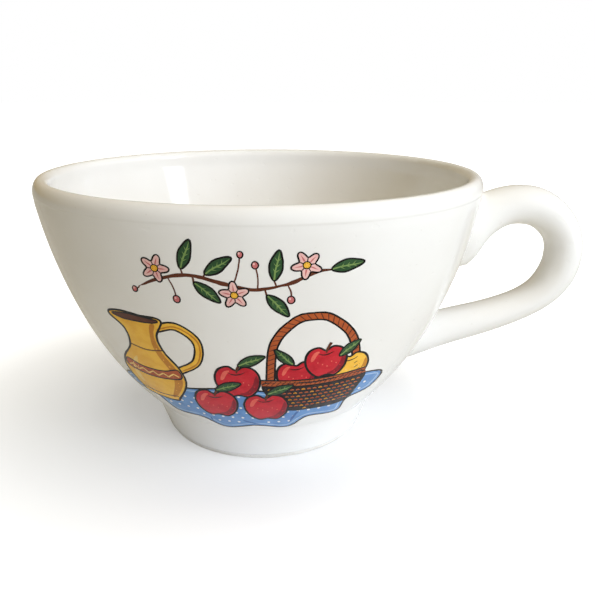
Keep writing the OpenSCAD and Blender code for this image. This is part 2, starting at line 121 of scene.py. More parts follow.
def glaze_profile():
    """From the wiped edge above the ring, up the outside, over the lip and down to the middle of the floor."""
    foot = np.array([FOOT_D / 2, 0.0])
    side = foot + (WIPE_H + EDGE_ROUND) / FOOT_WAY[1] * FOOT_WAY
    low = foot + WIPE_H / FOOT_WAY[1] * FOOT_WAY
    edge = bezier(low - [GLAZE_T + EDGE_T, 0], low, side, n=4)
    centre = fillet_centre()
    a_low = math.degrees(math.atan2(-FOOT_OUT[1], -FOOT_OUT[0]))
    toward = (BELLY_C - centre) / np.linalg.norm(BELLY_C - centre)
    a_high = math.degrees(math.atan2(toward[1], toward[0]))
    fillet = turn_points(centre, FOOT_FILLET, a_low % 360, a_high % 360, n=6)
    stem = np.linspace(side, fillet[0], 9)[1:-1]
    belly = arc_points(BELLY_C, BELLY_R, fillet[-1][1], WAIST_Z, n=26)[1:]
    shoulder = arc_points(SHOULDER_C, SHOULDER_R, WAIST_Z, LIP_Z - GROOVE_START, n=30)[1:]
    # The lip is a bead: its outside keeps turning down to the shallow groove where the wall begins
    groove_z = LIP_Z - GROOVE_DROP
    groove = np.array([wall_radius(groove_z) - GROOVE_DEPTH, groove_z])
    crease = bezier(shoulder[-1], groove, np.array([RIM_R - BEAD_SET, LIP_Z + BEAD_START]), n=8)[1:]
    half = LIP_T / 2
    outer = np.radians(np.linspace(BEAD_UNDER, 90, 16))
    bead = np.stack([RIM_R - half + half * np.cos(outer), BOWL_H - BEAD_H + BEAD_H * np.sin(outer)], 1)
    lip = np.concatenate([bead, turn_points([RIM_R - half, BOWL_H - half], half, 90, 180, n=9)[1:]])
    inner_x = RIM_R - LIP_T
    meet = SHOULDER_C[1] - math.sqrt(INNER_R ** 2 - (inner_x - SHOULDER_C[0]) ** 2)
    down = arc_points(SHOULDER_C, INNER_R, meet - INNER_ROUND, FLOOR_TOP, n=28)
    inner_top = np.array([inner_x, meet + INNER_ROUND])
    inner_crease = bezier(inner_top, np.array([inner_x, meet]), down[0], n=4)[:-1]
    a_top = math.asin((FLOOR_TOP - FLOOR_C[1]) / FLOOR_R)
    floor = turn_points(FLOOR_C, FLOOR_R, math.degrees(a_top), -90, n=44)[1:]
    floor[-1, 0] = 0.0
    return np.concatenate([edge, stem, fillet, belly, shoulder, crease, lip, inner_crease, down, floor])


def recess_profile():
    """The coat under the floor, from its wiped edge to the middle."""
    edge = FOOT_D / 2 - FOOT_RING
    corner = turn_points([edge - RECESS_FILLET, RECESS_H - RECESS_FILLET], RECESS_FILLET, 0, 90, n=8)
    wiped = [[edge + GLAZE_T, WIPE_H], [edge + 0.05, WIPE_H + 0.03]]
    roof = [[edge * share, RECESS_H] for share in (0.6, 0.3, 0)]
    return np.concatenate([wiped, corner, roof])


# ---------------------------------------------------------------- meshes
def mesh_piece(name, verts, faces, mat):
    me = bpy.data.meshes.new(name)
    me.from_pydata([tuple(float(c) * MM for c in v) for v in verts], [], faces)
    me.validate()
    me.materials.append(mat)
    me.polygons.foreach_set("use_smooth", [True] * len(me.polygons))
    me.update()
    ob = bpy.data.objects.new(name, me)
    bpy.context.collection.objects.link(ob)
    return ob


def skin(rings, sides):
    """The four-sided faces between closed rings of points, counted one ring after another."""
    return [(i * sides + k, i * sides + (k + 1) % sides, (i + 1) * sides + (k + 1) % sides, (i + 1) * sides + k)
            for i in range(rings - 1) for k in range(sides)]


def revolved(name, profile, steps, mat):
    """Turns a profile that ends on the axis into one skin."""
    turn = [2 * math.pi * k / steps for k in range(steps)]
    verts = [(r * math.cos(a), r * math.sin(a), z) for r, z in profile[:-1] for a in turn]
    verts.append((0, 0, profile[-1][1]))
    count = len(profile) - 1
    last = (count - 1) * steps
    cap = [(last + k, last + (k + 1) % steps, count * steps) for k in range(steps)]
    return mesh_piece(name, verts, skin(count, steps) + cap, mat)


def catmull(a, b, c, d, u):
    """The point at share u between b and c, on the smooth curve through all four."""
    return (2 * b + (c - a) * u + (2 * a - 5 * b + 4 * c - d) * u ** 2 + (3 * b - a - 3 * c + d) * u ** 3) / 2


# ---------------------------------------------------------------- the handle, by the frame's own rule
PATH_SHARES = [(-0.22, -0.015, 1.27), (0.19, 0.335, 0.99), (0.66, 0.375, 0.965), (0.98, 0.18, 0.92),
               (0.97, -0.11, 0.89), (0.605, -0.34, 0.74), (-0.335, -0.515, 0.97), (-1.475, -0.535, 1.455)]
PATH = np.array([[RIM_R + a * HANDLE_REACH, HANDLE_Z + b * HANDLE_H, c * HANDLE_T] for a, b, c in PATH_SHARES])
FREE_START, FREE_END = 0.22, 4.72
UPPER = dict(z=52.4, h=19.9, side=1, s=FREE_START, way=1, swell=0.58, run=0.54)
LOWER = dict(z=22.6, h=12.9, side=-1, s=FREE_END, way=-1, swell=0.18, run=0.55)
FILLET_TOP = 0.1
HANDLE_SIDES = 72
SEAM_REACH, SEAM_SINK = 0.5, 0.04
SEAM_RINGS, SMOOTH_ROUNDS = 9, 14


def spline(s):
    i = min(int(math.floor(s)), len(PATH) - 4)
    return catmull(*PATH[i:i + 4], s - i)


def path_way(s):
    way = spline(s + 0.01) - spline(s - 0.01)
    flat = np.array([way[0], 0, way[1]])
    return flat / np.linalg.norm(flat)


def tube_point(s, a):
    at, way = spline(s), path_way(s)
    out = np.array([-way[2], 0, way[0]])
    across = np.array([0, HANDLE_W / 2 * math.sin(a), 0])
    return np.array([at[0], 0, at[1]]) + out * at[2] / 2 * math.cos(a) + across


def on_wall(y, z, inset):
    return np.array([math.sqrt(wall_radius(z, inset) ** 2 - y * y), y, z])


def off_wall(p):
    slope = wall_normal(p[2])
    r = math.hypot(p[0], p[1])
    return np.array([slope[0] * p[0] / r, slope[0] * p[1] / r, slope[1]])


def outline(root, a, grow, inset=0.0):
    z = root["z"] + root["side"] * (root["h"] / 2 + grow) * math.cos(a)
    return on_wall((ROOT_W / 2 + grow) * math.sin(a), z, inset)


def root_point(root, a, t):
    start, end = outline(root, a, 0), tube_point(root["s"], a)
    span = np.linalg.norm(end - start)
    swell = off_wall(start) * root["swell"] * span
    run = root["way"] * path_way(root["s"]) * root["run"] * span
    return ((1 - t) ** 3 * start + 3 * t * (1 - t) ** 2 * (start + swell)
            + 3 * t * t * (1 - t) * (end - run) + t ** 3 * end)


def fillet_point(root, a, t):
    start, corner, end = outline(root, a, SLIP_FILLET), outline(root, a, 0), root_point(root, a, FILLET_TOP)
    return (1 - t) ** 2 * start + 2 * t * (1 - t) * corner + t * t * end


def coat_rings():
    turn = [2 * math.pi * j / HANDLE_SIDES for j in range(HANDLE_SIDES)]

    def end_rings(root):
        rings = [[outline(root, a, SLIP_FILLET + SEAM_REACH, SEAM_SINK) for a in turn]]
        rings += [[fillet_point(root, a, t) for a in turn] for t in np.linspace(0, 1, SEAM_RINGS)[:-1]]
        rings += [[root_point(root, a, t) for a in turn] for t in np.linspace(FILLET_TOP, 1, 19)[:-1]]
        return rings
    free = [[tube_point(s, a) for a in turn] for s in np.linspace(FREE_START, FREE_END, 104)]
    return np.array(end_rings(UPPER) + free + end_rings(LOWER)[::-1])


def handle_piece(name, mat):
    """The bends are evened out where the handle's parts meet, and the seams on the wall stay where they are."""
    rings = coat_rings()
    for _ in range(SMOOTH_ROUNDS):
        mid = rings[1:-1] + 0.5 * ((rings[:-2] + rings[2:]) / 2 - rings[1:-1])
        rings[SEAM_RINGS:-SEAM_RINGS] = mid[SEAM_RINGS - 1:-SEAM_RINGS + 1]
    return mesh_piece(name, rings.reshape(-1, 3), skin(len(rings), HANDLE_SIDES), mat)


# ---------------------------------------------------------------- materials
GLAZE_IOR, INK_IOR, INK_GLOSS = 1.52, 1.5, 0.15


def linear(*rgb):
    return tuple(((c / 255) / 12.92 if c <= 10 else ((c / 255 + 0.055) / 1.055) ** 2.4) for c in rgb) + (1.0,)


def grey(v):
    return (v, v, v, 1)


class Nodes:
    """A small helper around the node tree of a material or a world."""

    def __init__(self, owner):
        owner.use_nodes = True
        self.tree = owner.node_tree
        self.out = next(node for node in self.tree.nodes if node.type.startswith("OUTPUT"))
        self.bsdf = self.tree.nodes.get("Principled BSDF")

    def add(self, kind, **values):
        node = self.tree.nodes.new(kind)
        for key, value in values.items():
            if hasattr(node, key):
                setattr(node, key, value)
            else:
                node.inputs[key.replace("_", " ")].default_value = value
        return node

    def give(self, source, socket):
        """Sets a socket to a plain value, or joins another node's output to it."""
        if isinstance(source, (int, float, tuple)):
            socket.default_value = source
        else:
            self.tree.links.new(source, socket)

    def surface(self, **inputs):
        for key, source in inputs.items():
            self.give(source, self.bsdf.inputs[key.replace("_", " ")])

    def noise(self, scale, detail, rough, stretch=None, distort=0.0):
        source = self.add("ShaderNodeTexCoord").outputs["Object"]
        if stretch:
            mapping = self.add("ShaderNodeMapping", Scale=stretch)
            self.give(source, mapping.inputs["Vector"])
            source = mapping.outputs["Vector"]
        node = self.add("ShaderNodeTexNoise", Scale=scale, Detail=detail, Roughness=rough, Distortion=distort)
        self.give(source, node.inputs["Vector"])
        return node.outputs["Fac"]

    def ramp(self, source, stops):
        node = self.add("ShaderNodeValToRGB")
        ramp = node.color_ramp
        while len(ramp.elements) < len(stops):
            ramp.elements.new(0.5)
        for element, (place, colour) in zip(ramp.elements, stops):
            element.position = place
            element.color = colour
        self.give(source, node.inputs["Fac"])
        return node.outputs["Color"]

    def span(self, source, low, high, **values):
        """From 0 at low to 1 at high."""
        node = self.add("ShaderNodeMapRange", From_Min=low, From_Max=high, **values)
        self.give(source, node.inputs["Value"])
        return node.outputs["Result"]

    def mix(self, factor, a, b):
        node = self.add("ShaderNodeMix", data_type="RGBA")
        for socket, source in ((node.inputs[0], factor), (node.inputs[6], a), (node.inputs[7], b)):
            self.give(source, socket)
        return node.outputs[2]

    def math(self, kind, a, b):
        node = self.add("ShaderNodeMath", operation=kind)
        for socket, source in zip(node.inputs, (a, b)):
            self.give(source, socket)
        return node.outputs[0]

    def bump(self, height, strength, distance, before=None):
        node = self.add("ShaderNodeBump", Strength=strength, Distance=distance)
        self.give(height, node.inputs["Height"])
        if before is not None:
            self.give(before, node.inputs["Normal"])
        return node.outputs["Normal"]

    def light(self, kind, colour, strength):
        """A shader that gives off light: an emission or a background."""
        node = self.add(kind)
        self.give(colour, node.inputs["Color"])
        self.give(strength, node.inputs["Strength"])
        return node.outputs[0]

    def either(self, factor, a, b):
        """Shader a where the factor is 0, and b where it is 1."""
        node = self.add("ShaderNodeMixShader")
        for socket, source in zip(node.inputs, (factor, a, b)):
            self.give(source, socket)
        return node.outputs[0]

    def sum(self, a, b):
        node = self.add("ShaderNodeAddShader")
        for socket, source in zip(node.inputs, (a, b)):
            self.give(source, socket)
        return node.outputs[0]


def specks(t, scale, start, full, share, rough=0.5):
    """Small scattered spots: 0 between them, and share in them."""
    spots = t.ramp(t.noise(scale, 1, rough), [(start, grey(0)), (full, grey(1))])
    return t.math("MULTIPLY", spots, share)


def even_rough(t, scale, detail, rough, low, high):
    """Roughness that drifts between two values over the surface."""
    return t.ramp(t.noise(scale, detail, rough), [(0.3, grey(low)), (0.7, grey(high))])


def glaze_wave(t):
    """The slow waves of a fired coat, which the ink on it follows."""
    return t.bump(t.noise(scale=110, detail=2, rough=0.4), strength=0.10, distance=0.0012)


def glaze_material(name):
    """White tin-bright glaze: nearly even, a little waved, with pinholes and a faint warm drift."""
    mat = bpy.data.materials.new(name)
    t = Nodes(mat)
    drift = t.ramp(t.noise(scale=28, detail=3, rough=0.5),
                   [(0.35, linear(245, 243, 238)), (0.65, linear(241, 238, 232))])
    iron = specks(t, 900, 0.76, 0.8, share=0.16, rough=0.4)
    grain = t.bump(t.noise(scale=1500, detail=2, rough=0.5), strength=0.05, distance=0.00006, before=glaze_wave(t))
    holes = t.ramp(t.noise(scale=620, detail=0, rough=0.3), [(0.8, grey(1)), (0.86, grey(0))])
    t.surface(Base_Color=t.mix(iron, drift, linear(196, 186, 168)),
              Roughness=even_rough(t, 60, 3, 0.6, low=0.075, high=0.12),
              Normal=t.bump(holes, strength=0.35, distance=0.00008, before=grain),
              IOR=GLAZE_IOR)
    return mat


def clay_material(name, r, g, b):
    """Bare fired clay: matt, finely speckled, a little soiled."""
    mat = bpy.data.materials.new(name)
    t = Nodes(mat)
    tone = t.ramp(t.noise(scale=90, detail=4, rough=0.6),
                  [(0.3, linear(r, g, b)), (0.7, linear(r - 12, g - 14, b - 18))])
    grit = specks(t, 2600, 0.66, 0.74, share=0.3)
    t.surface(Base_Color=t.mix(grit, tone, linear(150, 130, 106)),
              Roughness=even_rough(t, 300, 3, 0.6, low=0.72, high=0.88),
              Normal=t.bump(t.noise(scale=2200, detail=3, rough=0.6), strength=0.4, distance=0.00012))
    return mat


def enamel_material(name, light, dark):
    """Ceramic ink under a thin gloss: a printed colour that lies unevenly, in dabs and faint streaks."""
    mat = bpy.data.materials.new(name)
    t = Nodes(mat)
    dabs = t.noise(scale=260, detail=4, rough=0.6, stretch=(1, 1, 1.6), distort=0.4)
    tone = t.ramp(dabs, [(0.32, linear(*dark)), (0.57, linear(*light))])
    dots = specks(t, 3800, 0.62, 0.7, share=0.12)
    t.surface(Base_Color=t.mix(dots, tone, linear(*[min(255, c + 45) for c in light])),
              Roughness=even_rough(t, 240, 2, 0.5, low=0.13, high=0.19),
              Normal=t.bump(t.noise(scale=1800, detail=2, rough=0.5), strength=0.08, distance=0.00004,
                            before=glaze_wave(t)),
              IOR=INK_IOR, Specular_IOR_Level=INK_GLOSS)
    return mat


GLAZE = glaze_material("white_glaze")
CLAY = clay_material("bare_clay", 236, 232, 224)
SLIP = clay_material("slip", 238, 233, 222)
INK_TONES = {
    "blue": ((104, 152, 208), (84, 132, 192)),
    "blue_dark": ((62, 104, 168), (48, 88, 150)),
    "blue_pale": ((164, 196, 230), (146, 182, 222)),
    "yellow": ((250, 196, 70), (240, 178, 54)),
    "yellow_dark": ((204, 136, 36), (190, 120, 30)),
    "yellow_pale": ((250, 214, 128), (244, 202, 104)),
    "red": ((206, 38, 50), (186, 24, 40)),
    "red_dark": ((146, 18, 34), (128, 14, 30)),
    "red_pale": ((232, 110, 92), (222, 88, 76)),
    "green": ((52, 86, 52), (36, 66, 40)),
    "green_pale": ((128, 156, 88), (110, 142, 78)),
    "brown": ((186, 92, 46), (166, 76, 36)),
    "brown_dark": ((98, 52, 34), (82, 42, 28)),
    "pink": ((240, 196, 188), (230, 176, 170)),
    "pink_dark": ((206, 118, 116), (194, 102, 104)),
    "basket": ((38, 28, 28), (24, 19, 21)),
    "black": ((20, 17, 17), (14, 12, 12)),
    "white": ((246, 244, 238), (238, 236, 230)),
}
INK = {colour: enamel_material("ink_" + colour, *tones) for colour, tones in INK_TONES.items()}


# ---------------------------------------------------------------- the coats, and the clay under them
glaze_bowl = revolved("glaze_bowl", glaze_profile(), BOWL_STEPS, GLAZE)
glaze_recess = revolved("glaze_recess", recess_profile(), RECESS_STEPS, GLAZE)
glaze_handle = handle_piece("glaze_handle", GLAZE)
for piece, node in ((glaze_bowl, "bowl_glaze"), (glaze_recess, "bowl_glaze"), (glaze_handle, "handle_glaze")):
    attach(piece, "root")
    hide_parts(node)

for clay_node, clay_mat in (("bowl", CLAY), ("handle", CLAY), ("upper_slip_joint", SLIP), ("lower_slip_joint", SLIP)):
    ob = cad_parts[clay_node]
    if not ob.material_slots:
        ob.data.materials.append(clay_mat)
    for slot in ob.material_slots:
        slot.material = clay_mat

# ---------------------------------------------------------------- the print: drawn flat, laid on the wall
TURN = math.radians(PRINT_TURN)
# A film lies over the glaze by the base and a step for each level, so that lines and details cover their fill
FILM_BASE, FILM_STEP = 0.012, 0.0065
TINT_UP, PEN_UP, DETAIL_UP, TOP_UP = 0.25, 0.5, 1.0, 1.5
FILL_GAP, FILL_GRID, FILL_EDGE, PEN_GAP = 0.5, 1.1, 0.25, 0.35
PEN_TIP, PEN_SHAKE = 0.12, 0.05
FIRM, LOOSE = 0.05, 0.22
rng = random.Random(5)
layers = {}


def laid(a, z, lift):
    """A point of the flat print on the wall, lifted off the glaze."""
    r = wall_radius(z)
    y = -math.sqrt(r * r - a * a)
    n = wall_normal(z)
    e = np.array([a / r, y / r])
    p = np.array([a + n[0] * e[0] * lift, y + n[0] * e[1] * lift, z + n[1] * lift])
    c, s = math.cos(TURN), math.sin(TURN)
    return (p[0] * c + p[1] * s, -p[0] * s + p[1] * c, p[2])


def rounded(points, steps=8):
    """A smooth closed line through the points."""
    p = [np.array(q, float) for q in points]
    n = len(p)
    return np.array([catmull(p[i - 1], p[i], p[(i + 1) % n], p[(i + 2) % n], k / steps)
                     for i in range(n) for k in range(steps)])


def line(points, steps=8):
    """A smooth open line through the points."""
    p = [np.array(q, float) for q in points]
    full = [2 * p[0] - p[1]] + p + [2 * p[-1] - p[-2]]
    out = [catmull(*full[i:i + 4], k / steps) for i in range(len(p) - 1) for k in range(steps)]
    return np.array(out + [p[-1]])


def placed(shares, at, size):
    return [(at[0] + s[0] * size[0], at[1] + s[1] * size[1]) for s in shares]


def swung(points, at, angle):
    c, s = math.cos(math.radians(angle)), math.sin(math.radians(angle))
    return [(at[0] + x * c - z * s, at[1] + x * s + z * c) for x, z in points]


def even(points, gap, closed=True):
    """The same line with its points a fixed gap apart."""
    p = np.array(points)
    if closed:
        p = np.vstack([p, p[:1]])
    way = np.concatenate([[0], np.cumsum(np.linalg.norm(np.diff(p, axis=0), axis=1))])
    n = max(int(way[-1] / gap), 3)
    at = np.linspace(0, way[-1], n + 1)
    q = np.stack([np.interp(at, way, p[:, 0]), np.interp(at, way, p[:, 1])], 1)
    return q[:-1] if closed else q


def unit_rows(way):
    return way / np.maximum(np.linalg.norm(way, axis=1, keepdims=True), 1e-9)


def grown(points, far):
    """A closed line moved outwards, or inwards where far is below 0."""
    p = np.array(points)
    nxt, prv = np.roll(p, -1, 0), np.roll(p, 1, 0)
    turn = np.sign(np.sum(p[:, 0] * nxt[:, 1] - nxt[:, 0] * p[:, 1]))
    way = unit_rows(nxt - prv)
    return p + turn * far * np.stack([way[:, 1], -way[:, 0]], 1)


def inside(points, at):
    x, z = at
    hit = False
    n = len(points)
    for i in range(n):
        (x1, z1), (x2, z2) = points[i], points[(i + 1) % n]
        if (z1 > z) != (z2 > z) and x < (x2 - x1) * (z - z1) / (z2 - z1) + x1:
            hit = not hit
    return hit


def add_film(colour, verts, faces, level, node):
    """Collects films of one colour for one node, as one piece."""
    store = layers.setdefault((node or "print_" + colour.split("_")[0], colour), ([], []))
    first = len(store[0])
    lift = FILM_BASE + FILM_STEP * level
    store[0].extend(laid(v[0], v[1], lift) for v in verts)
    store[1].extend(tuple(first + i for i in f) for f in faces)


def fill(colour, points, level, node=None, gap=FILL_GAP):
    """A closed outline filled with triangles that are small enough to follow the wall."""
    edge = even(points, gap)
    n = len(edge)
    lo, hi = edge.min(0), edge.max(0)
    verts = [Vector(p) for p in edge]
    inner = grown(edge, -FILL_EDGE)
    if hi[0] - lo[0] > FILL_GRID and hi[1] - lo[1] > FILL_GRID:
        for i, x in enumerate(np.arange(lo[0] + FILL_GRID / 2, hi[0], FILL_GRID)):
            for z in np.arange(lo[1] + FILL_GRID / 2 + (i % 2) * FILL_GRID / 2, hi[1], FILL_GRID):
                if inside(inner, (x, z)):
                    verts.append(Vector((x, z)))
    out = geometry.delaunay_2d_cdt(verts, [(i, (i + 1) % n) for i in range(n)], [], 1, 1e-6)
    faces = []
    for f in out[2]:
        a, b, c = (out[0][i] for i in f)
        faces.append(tuple(f) if (b - a).cross(c - a) > 0 else tuple(reversed(f)))
    add_film(colour, out[0], faces, level, node)


def stroke(points, width, level, colour="black", node=None, taper=(0.0, 0.0), closed=False, wobble=LOOSE,
           gap=PEN_GAP):
    """A pen line of uneven width, pointed at its ends where taper says over how many mm."""
    p = even(points, gap, closed)
    n = len(p)
    nxt = np.roll(p, -1, 0) if closed else np.vstack([p[1:], p[-1:]])
    prv = np.roll(p, 1, 0) if closed else np.vstack([p[:1], p[:-1]])
    way = unit_rows(nxt - prv)
    side = np.stack([way[:, 1], -way[:, 0]], 1)
    seed = rng.random() * 50
    verts = []
    for i in range(n):
        w = width * (1 + wobble * noise.noise((p[i][0] * 0.45 + seed, p[i][1] * 0.45, seed)))
        if not closed:
            for far, reach in ((i * gap, taper[0]), ((n - 1 - i) * gap, taper[1])):
                if reach > 0:
                    w *= min(1.0, PEN_TIP + far / reach)
        shake = PEN_SHAKE * noise.noise((p[i][0] * 1.3, p[i][1] * 1.3, seed))
        c = p[i] + side[i] * shake
        verts += [c + side[i] * w / 2, c - side[i] * w / 2]
    faces = [(2 * i, 2 * i + 2, 2 * i + 3, 2 * i + 1) for i in range(n - 1)]
    if closed:
        faces.append((2 * n - 2, 0, 1, 2 * n - 1))
    add_film(colour, verts, faces, level, node)


def drawn(colour, points, level, width=INK_W, node=None):
    """A filled outline with its pen line."""
    fill(colour, points, level, node)
    stroke(points, width, level + PEN_UP, closed=True)


def oval(at, rx, rz, count):
    turn = [2 * math.pi * k / count for k in range(count)]
    return np.array([(at[0] + rx * math.cos(a), at[1] + rz * math.sin(a)) for a in turn])


# Outlines as shares of each thing's own width and height, from its lower left corner
CLOTH = [(0, 0.74), (0.1, 0.9), (0.26, 0.84), (0.46, 0.93), (0.66, 0.86), (0.86, 1), (1, 0.9),
         (0.96, 0.6), (0.87, 0.5), (0.83, 0.22), (0.72, 0.25), (0.64, 0.02), (0.52, 0.1), (0.4, 0),
         (0.31, 0.2), (0.2, 0.22), (0.13, 0.5), (0.03, 0.54)]
JUG = [(0.28, 0), (0.72, 0), (0.82, 0.06), (0.98, 0.28), (0.94, 0.46), (0.76, 0.64), (0.7, 0.8), (0.8, 0.97),
       (0.5, 0.99), (0.2, 1), (0, 0.95), (0.22, 0.82), (0.24, 0.64), (0.06, 0.46), (0.02, 0.28), (0.18, 0.06)]
JUG_LOOP = [(0.7, 0.88), (0.98, 0.93), (1.24, 0.8), (1.2, 0.58), (0.92, 0.44)]
JUG_SHADE = [(0.7, 0.05), (0.8, 0.1), (0.93, 0.28), (0.9, 0.44), (0.73, 0.62), (0.66, 0.8), (0.7, 0.92),
             (0.62, 0.9), (0.6, 0.72), (0.66, 0.58), (0.79, 0.42), (0.8, 0.26)]
JUG_FLANK = [(0.16, 0.3), (0.2, 0.44), (0.3, 0.52), (0.28, 0.42), (0.24, 0.3), (0.27, 0.16), (0.2, 0.18)]
JUG_BAND = [(0.1, 0.45), (0.3, 0.41), (0.5, 0.4), (0.7, 0.41), (0.9, 0.45),
            (0.93, 0.35), (0.7, 0.31), (0.5, 0.3), (0.3, 0.31), (0.07, 0.35)]
JUG_ZIGZAG = [(x, (0.405 if k % 2 else 0.365) - 0.035 * (1 - ((x - 0.5) / 0.4) ** 2))
              for k, x in enumerate(0.1 + 0.08 * k for k in range(11))]
JUG_LINES = [[(0.26, 0.655), (0.5, 0.63), (0.74, 0.655)], [(0.2, 0.075), (0.5, 0.05), (0.8, 0.075)]]
JUG_MOUTH = [(0.06, 0.955), (0.26, 0.985), (0.5, 0.98), (0.75, 0.965), (0.68, 0.935), (0.45, 0.925), (0.22, 0.925)]
APPLE = [(0.5, 0.87), (0.68, 0.98), (0.9, 0.88), (1, 0.6), (0.93, 0.27), (0.72, 0.03),
         (0.5, 0.07), (0.28, 0.03), (0.07, 0.27), (0, 0.6), (0.1, 0.88), (0.32, 0.98)]
APPLE_SHADE = [(0.93, 0.72), (0.97, 0.5), (0.88, 0.25), (0.7, 0.08), (0.5, 0.11), (0.68, 0.2), (0.82, 0.4),
               (0.88, 0.6)]
APPLE_GLOW = [(0.16, 0.72), (0.24, 0.84), (0.36, 0.86), (0.28, 0.74), (0.2, 0.58), (0.13, 0.56)]
APPLE_DIP = [(0.3, 0.8), (0.42, 0.74), (0.56, 0.75), (0.7, 0.82)]
APPLE_STEM = [(0.5, 0.78), (0.53, 0.92), (0.62, 1.1)]
APPLE_SPOTS = [(0.3 + 0.11 * k, 0.5 - 0.07 * (k % 3)) for k in range(5)]
LEAF = [(0, 0), (0.25, 0.17), (0.6, 0.2), (1, 0), (0.65, -0.15), (0.3, -0.17)]
BASKET = [(0, 1), (0.5, 0.94), (1, 1), (0.93, 0.42), (0.8, 0.05), (0.5, 0), (0.2, 0.05), (0.07, 0.42)]
BASKET_MOUTH = [(0.02, 1), (0.25, 1.12), (0.5, 1.16), (0.75, 1.12), (0.98, 1), (0.75, 0.94), (0.5, 0.92),
                (0.25, 0.94)]
BASKET_RIM = [(-0.03, 1), (0.25, 0.955), (0.5, 0.94), (0.75, 0.955), (1.03, 1)]
ARCH = [(0.06, 0), (0.12, 0.62), (0.32, 0.94), (0.5, 1), (0.68, 0.94), (0.88, 0.62), (0.94, 0)]
VINE = [(0, 0.2), (0.12, 0.55), (0.28, 0.75), (0.45, 0.5), (0.6, 0.3), (0.78, 0.5), (0.9, 0.85), (1, 0.9)]

# Where each thing stands on the flat print, in mm from its middle line and from the table
FOLDS = [[(-22.6, 24.0), (-21.9, 20.4), (-20.4, 17.2)], [(-9.2, 15.4), (-9.0, 13.9), (-8.2, 12.7)],
         [(-1.6, 15.2), (0.6, 14.0), (2.6, 13.4)], [(11.4, 18.6), (10.0, 16.0), (8.9, 13.2)],
         [(24.6, 26.6), (23.6, 23.4), (22.0, 20.6)]]
DOT_ROWS, DOT_COLS, DOT_START, DOT_PITCH, DOT_R = 9, 27, (-29, CLOTH_Z + 1.1), (2.3, 2.0), 0.34
JUG_AT, JUG_SIZE = (-28.5, CLOTH_Z + 0.5 * CLOTH_H), (JUG_W, JUG_H)
FRUIT_AT = (-11.5, CLOTH_Z + 0.26 * CLOTH_H)
BASKET_AT, BASKET_SIZE, ARCH_H = (4.5, CLOTH_Z + 0.45 * CLOTH_H), (BASKET_W, BASKET_H), 17
VINE_AT, VINE_SIZE = (-19.0, 50.5), (38.0, 6.0)
# Apples, placed in apple widths: then size, colour, level and whether the stem shows; in front, only the level
BASKET_FRUIT = [(0.28, -0.26, 0.86, "red", 2.5, False), (1.44, -0.2, 0.86, "yellow", 2.5, False),
                (0.9, 0.06, 0.9, "red", 4.0, True)]
FRONT_FRUIT = [(0.58, 0.9, 3), (0, 0.1, 8), (1.15, 0, 8)]
BASKET_LEAVES = [(0.3, 1.5, 130), (0.75, 1.6, 40)]
# The garland: place in shares of the vine's box, then a leaf's angle, or a berry's size
GARLAND_LEAVES = [(0.24, 0.95, 70), (0.3, 0.5, -40), (0.36, 0.8, 35), (0.66, 0.1, -50), (0.7, 0.6, 80),
                  (0.98, 0.9, 10)]
BERRIES = [(0.2, -0.15, 1.0), (0.54, 1.5, 0.8), (0.61, 1.15, 0.9), (0.78, -0.1, 1.0), (-0.03, 0.05, 0.8)]
BLOSSOMS = [(0.1, 0.9), (0.5, 0.1), (0.86, 1.1)]
WEAVE_ROWS, WEAVE_COLS, WEAVE_START, WEAVE_PITCH = 7, 18, (0.5, 0.9), (1.2, 1.15)
WEAVE_L, WEAVE_BOW, WEAVE_SAG = 0.86, (-0.08, 0.16, -0.08), 0.5


def leaf(at, angle, size, level):
    long = LEAF_L * size
    shape = rounded(swung([(x * long, z * long) for x, z in LEAF], at, angle), 6)
    drawn("green", shape, level, 0.36)
    rib = swung([(long * t, long * 0.02 * math.sin(6 * t)) for t in (0.04, 0.35, 0.7, 0.93)], at, angle)
    stroke(line(rib), 0.3, level + DETAIL_UP, "green_pale", taper=(0, 2))
    for t in (0.28, 0.46, 0.64):
        for way in (1, -1):
            vein = swung([(long * t, 0), (long * (t + 0.11), way * long * 0.1)], at, angle)
            stroke(vein, 0.18, level + DETAIL_UP, "green_pale", taper=(0, 0.8))


def apple(at, size, colour, level, stem=True):
    box = (APPLE_D * size, APPLE_D * size)
    drawn(colour, rounded(placed(APPLE, at, box), 6), level)
    fill(colour + "_dark", rounded(placed(APPLE_SHADE, at, box), 5), level + TINT_UP)
    fill(colour + "_pale", rounded(placed(APPLE_GLOW, at, box), 5), level + TINT_UP)
    stroke(line(placed(APPLE_DIP, at, box)), 0.3, level + TINT_UP + PEN_UP, taper=(1.4, 1.4))
    for spot in placed(APPLE_SPOTS, at, box):
        fill(colour + "_pale", oval(spot, 0.14, 0.2, 8), level + TINT_UP, gap=0.12)
    if stem:
        stroke(line(placed(APPLE_STEM, at, box)), 0.55, level + TOP_UP, "brown_dark", "print_black", (0.5, 0))


